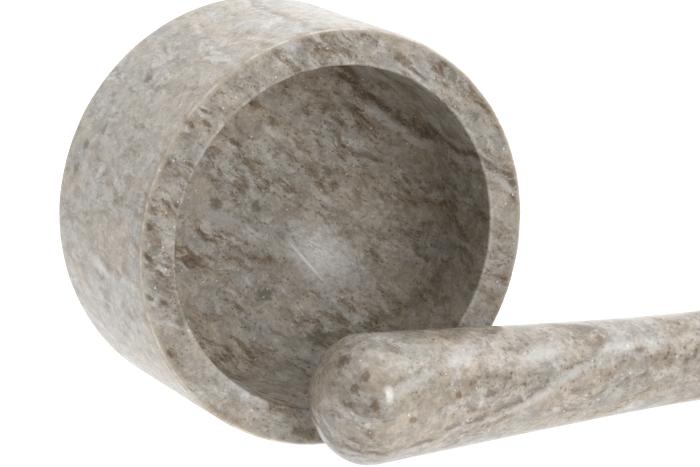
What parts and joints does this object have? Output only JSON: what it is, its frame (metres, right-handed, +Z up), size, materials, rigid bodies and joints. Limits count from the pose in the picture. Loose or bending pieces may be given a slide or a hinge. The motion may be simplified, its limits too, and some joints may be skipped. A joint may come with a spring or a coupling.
{
  "type": "mortar and pestle",
  "caption": "Low straight-sided stone mortar lying on its side, with a deep round-cornered bowl, and a loose club-shaped pestle leaning against its rim.",
  "frame": {"origin": "on the resting surface, under the middle of the bounding box of the mortar and pestle as they lie", "axes": "+Z up; +Y from the mortar's mouth to its base, along the mortar's axis; +X towards the pestle's handle end"},
  "size_m": [0.2088, 0.0968, 0.12],
  "materials": {
    "mortar_stone": "honed warm grey marble with fine dark speckle and pale veins",
    "pestle_stone": "smoothly polished warm grey marble with fine dark speckle and pale veins"
  },
  "bodies": {
    "mortar": {"mortar": "mortar_stone"},
    "pestle": {"pestle": "pestle_stone"}
  },
  "joints": [
    {"name": "pestle_lift", "type": "slide", "parent": "mortar", "child": "pestle", "axis": [0, 0, 1], "range_m": [0, 0.15]}
  ]
}
